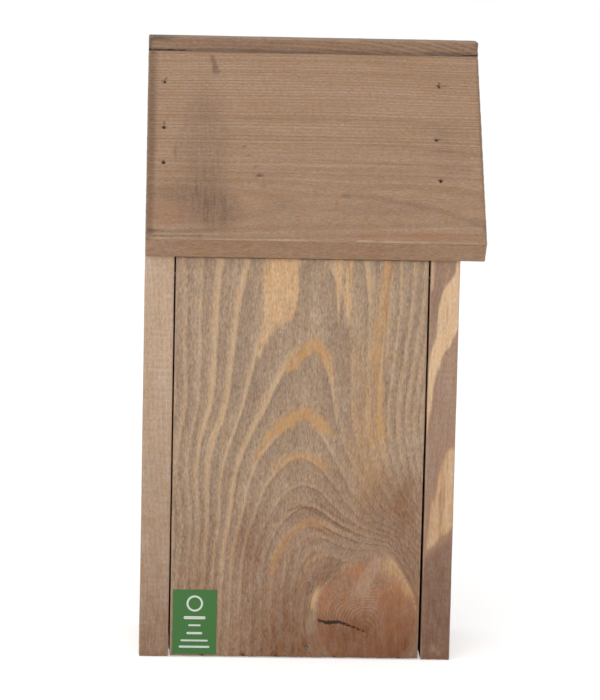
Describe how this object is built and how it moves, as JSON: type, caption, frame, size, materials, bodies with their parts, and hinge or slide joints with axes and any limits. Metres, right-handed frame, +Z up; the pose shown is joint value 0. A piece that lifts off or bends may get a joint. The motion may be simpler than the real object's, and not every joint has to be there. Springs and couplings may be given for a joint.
{
  "type": "bird nest box",
  "caption": "Upright timber nest box with a steep sloping roof, a front panel that swings out on nails, and a side entrance at the rear under the roof.",
  "frame": {"origin": "middle of the box's underside, halfway between the walls' outer faces and halfway along their depth", "axes": "+Z up, +Y to the back where the batten is, +X to the right seen from the front"},
  "size_m": [0.1874, 0.1122, 0.3404],
  "materials": {
    "roof_wood": "planed softwood, brown stain",
    "batten_wood": "planed softwood, brown stain",
    "left_wall_wood": "sawn softwood, brown stain",
    "right_wall_wood": "sawn softwood, brown stain",
    "panel_wood": "planed softwood with arched grain and a knot",
    "inner_wood": "planed softwood, brown stain",
    "label_film": "printed film, satin",
    "nail_steel": "bright drawn wire",
    "nail_dull": "dulled drawn wire"
  },
  "bodies": {
    "case": {"left_wall": "left_wall_wood", "right_wall": "right_wall_wood", "back_board": "inner_wood", "floor_board": "inner_wood", "roof_board": "roof_wood", "rear_batten": "batten_wood", "pivot_nail_left": "nail_steel", "pivot_nail_right": "nail_steel", "roof_nails_left": "nail_dull", "roof_nails_right": "nail_dull", "back_nails_left": "nail_steel", "back_nails_right": "nail_steel", "floor_nails_left": "nail_steel", "floor_nails_right": "nail_steel", "batten_nails": "nail_steel"},
    "front": {"front_panel": "panel_wood", "label": "label_film", "catch_brad": "nail_steel"}
  },
  "joints": [
    {"name": "front_panel_swing", "type": "hinge", "parent": "case", "child": "front", "pos_m": [0, -0.03275, 0.215], "axis": [-1, 0, 0], "range_deg": [0, 100]}
  ]
}
